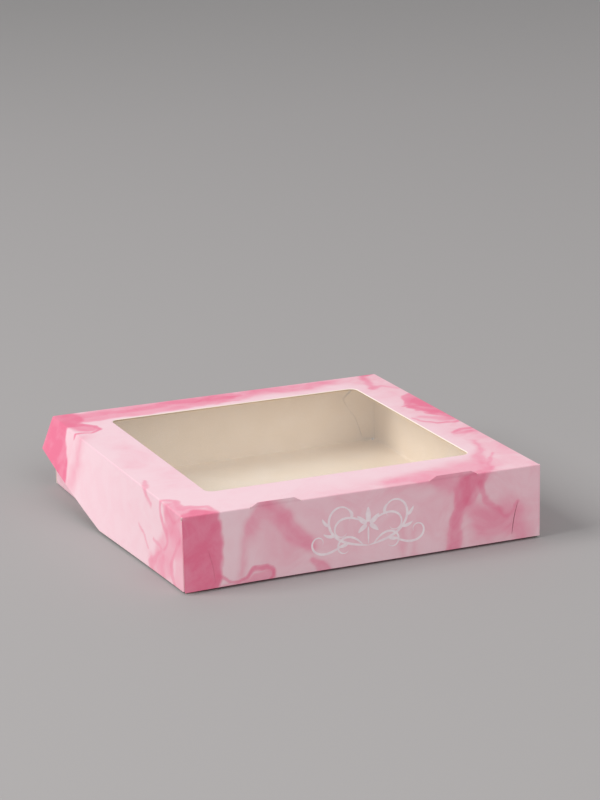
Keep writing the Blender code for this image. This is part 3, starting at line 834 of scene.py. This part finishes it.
def splay(y, twist):
    """A flap's angle from upright: a u + b u^2, with u the share of the way to its rear end."""
    u = np.clip((y - FLAP_FRONT - FOLD) / (FLAP_REAR - FLAP_FRONT - FOLD), 0, 1)
    return twist[0] * u + twist[1] * u * u


y = grid_lines(FLAP_FRONT + FOLD, FLAP_REAR, FINE)
crease_y = grid_lines(FRONT + FOLD, FLAP_REAR, FINE)
full = np.interp(y, [TAPER_FROM, FLAP_REAR], [FLAP_REACH, REAR_REACH])
depth = FOLD + (full - FOLD) * np.linspace(0, 1, round(FLAP_REACH / FINE))[:, None]
reach, ear_depth = ear_grid(LID_EAR_REACH, FINE)
fold_depth = grid_lines(ear_depth[0, 0], ear_depth[-1, 0], FINE)
for side, sign, twist in (("left", 1, LEFT_TWIST), ("right", -1, (0, 0))):
    hinge_x = sign * LEFT
    angle = splay(y, twist)
    flap_down = laid_out(-sign * np.sin(angle), 0, -np.cos(angle))
    flap_outward = laid_out(-sign * np.cos(angle), 0, np.sin(angle))
    flap = board(f"{side}_flap_board", [
        patch(laid_out(hinge_x, y, TOP) + depth[..., None] * flap_down,
              np.broadcast_to(flap_outward, (*depth.shape, 3)),
              on_blank(sign * (LEFT - depth), y))])
    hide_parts(f"lid_{side}_flap")
    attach(flap, f"{side}_flap")

    angle = splay(crease_y, twist)
    crease = board(f"{side}_flap_crease", [
        fold(laid_out(hinge_x, crease_y, TOP), sign * TO_RIGHT,
             laid_out(-sign * np.sin(angle), 0, -np.cos(angle)),
             on_blank(sign * (LEFT + FOLD), crease_y), on_blank(sign * (LEFT - FOLD), crease_y))])
    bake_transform(crease)

    ear = board(f"{side}_ear_board", [
        patch(laid_out(sign * (LEFT + reach), FLAP_FRONT, TOP - ear_depth), TO_FRONT,
              on_blank(sign * (LEFT - ear_depth), FLAP_FRONT - reach))])
    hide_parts(f"lid_{side}_ear")
    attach(ear, f"{side}_ear")
    ear_crease = board(f"{side}_ear_crease", [
        fold(laid_out(hinge_x, FLAP_FRONT, TOP - fold_depth), TO_BACK, sign * TO_RIGHT,
             on_blank(sign * (LEFT - fold_depth), FLAP_FRONT + FOLD),
             on_blank(sign * (LEFT - fold_depth), FLAP_FRONT - FOLD))])
    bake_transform(ear_crease)

# ------------------------------------------------------------
# The ornament: a scroll of fine brush strokes in opaque white ink, screen printed on the front
# flap over the marble. It is a plain symmetrical flourish with a blossom in the middle.
ORNAMENT_CENTRE = np.array((LEFT + 101 * MM, TOP - 20 * MM))
INK_PROUD, INK_THICK = 0.03 * MM, 0.02 * MM
INK_STEP = 0.001 * MM      # each stroke lies this much further out than the last
STROKE_POINTS = 70

# Screen ink lies on the film as a thick satin layer, so it stays white over any colour. The
# screen's mesh of 0.1 mm is too fine to show, so its unevenness is drawn 2.5 mm across.
white_ink, tree, shader = new_material("opaque_white_screen_ink")
where = add_node(tree, "ShaderNodeTexCoord").outputs["Object"]
cover = noise(tree, where, 400, 3)
whites = tones(tree, cover, ((0.35, "F4DFE6"), (0.65, "FAECF0")))
tree.links.new(whites, shader.inputs["Base Color"])
shader.inputs["Roughness"].default_value = 0.5

# start in mm from the ornament's centre, heading in degrees, length and half width in mm, and the
# turn in degrees by its end with the power that it grows by
BRUSH_STROKES = (
    ((0.0, -9.5), 10, 52, 0.72, 300, 2.3),
    ((3.0, -8.8), 48, 27, 0.60, -280, 1.9),
    ((2.6, 3.6), 28, 30, 0.60, -275, 2.1),
    ((12.5, -6.4), -28, 34, 0.65, 330, 2.6),
    ((11.5, -6.9), -30, 6.0, 0.90, 40, 1.0),
    ((19.0, -2.0), -8, 6.5, 0.90, 50, 1.0),
    ((21.8, 3.6), 25, 6.0, 0.85, 50, 1.0),
    ((9.0, 6.6), 95, 5.5, 0.85, -60, 1.0),
    ((0.0, 3.0), 90, 8.0, 1.50, 0, 1.0),
    ((0.8, 2.4), 28, 7.0, 1.35, 25, 1.0),
    ((0.8, 1.6), -28, 6.2, 1.25, -20, 1.0),
    ((0.0, 0.6), -90, 9.5, 0.50, 0, 1.0),
)


def brush_stroke(start, heading, length, half_width, turn, power, mirror):
    """The x and z of a stroke of the ornament, as a grid. Its direction is heading +
    turn s^power, its middle line the running sum of that direction, and its half width
    w (sin(pi s^0.7))^0.6."""
    s = np.linspace(0, 1, STROKE_POINTS)
    angle = np.radians(heading + turn * s ** power)
    steps = np.stack([np.cos(angle), np.sin(angle)], 1) * length / (len(s) - 1)
    line = np.array(start) + np.cumsum(steps, axis=0) - steps[0]
    normal = np.stack([-np.sin(angle), np.cos(angle)], 1)
    spread = half_width * np.sin(math.pi * np.clip(s, 0.004, 0.996) ** 0.7) ** 0.6
    across = line + np.linspace(-1, 1, 4)[:, None, None] * (spread[:, None] * normal)
    x = ORNAMENT_CENTRE[0] + mirror * across[..., 0] * MM
    z = ORNAMENT_CENTRE[1] + across[..., 1] * MM
    return x, z


ornament_patches = []
for number, stroke in enumerate(BRUSH_STROKES):
    upright = stroke[1] in (90, -90)
    for hand, mirror in enumerate((1,) if upright else (1, -1)):
        x, z = brush_stroke(*stroke, mirror)
        proud = INK_PROUD + INK_STEP * (2 * number + hand)
        ornament_patches.append(patch(laid_out(x, FRONT - proud, z), TO_FRONT,
                                      on_blank(x, FRONT - TOP + z)))
ornament = board("front_ornament", ornament_patches, thickness=INK_THICK,
                 finishes=(white_ink,) * 3)
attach(ornament, "front_flap")
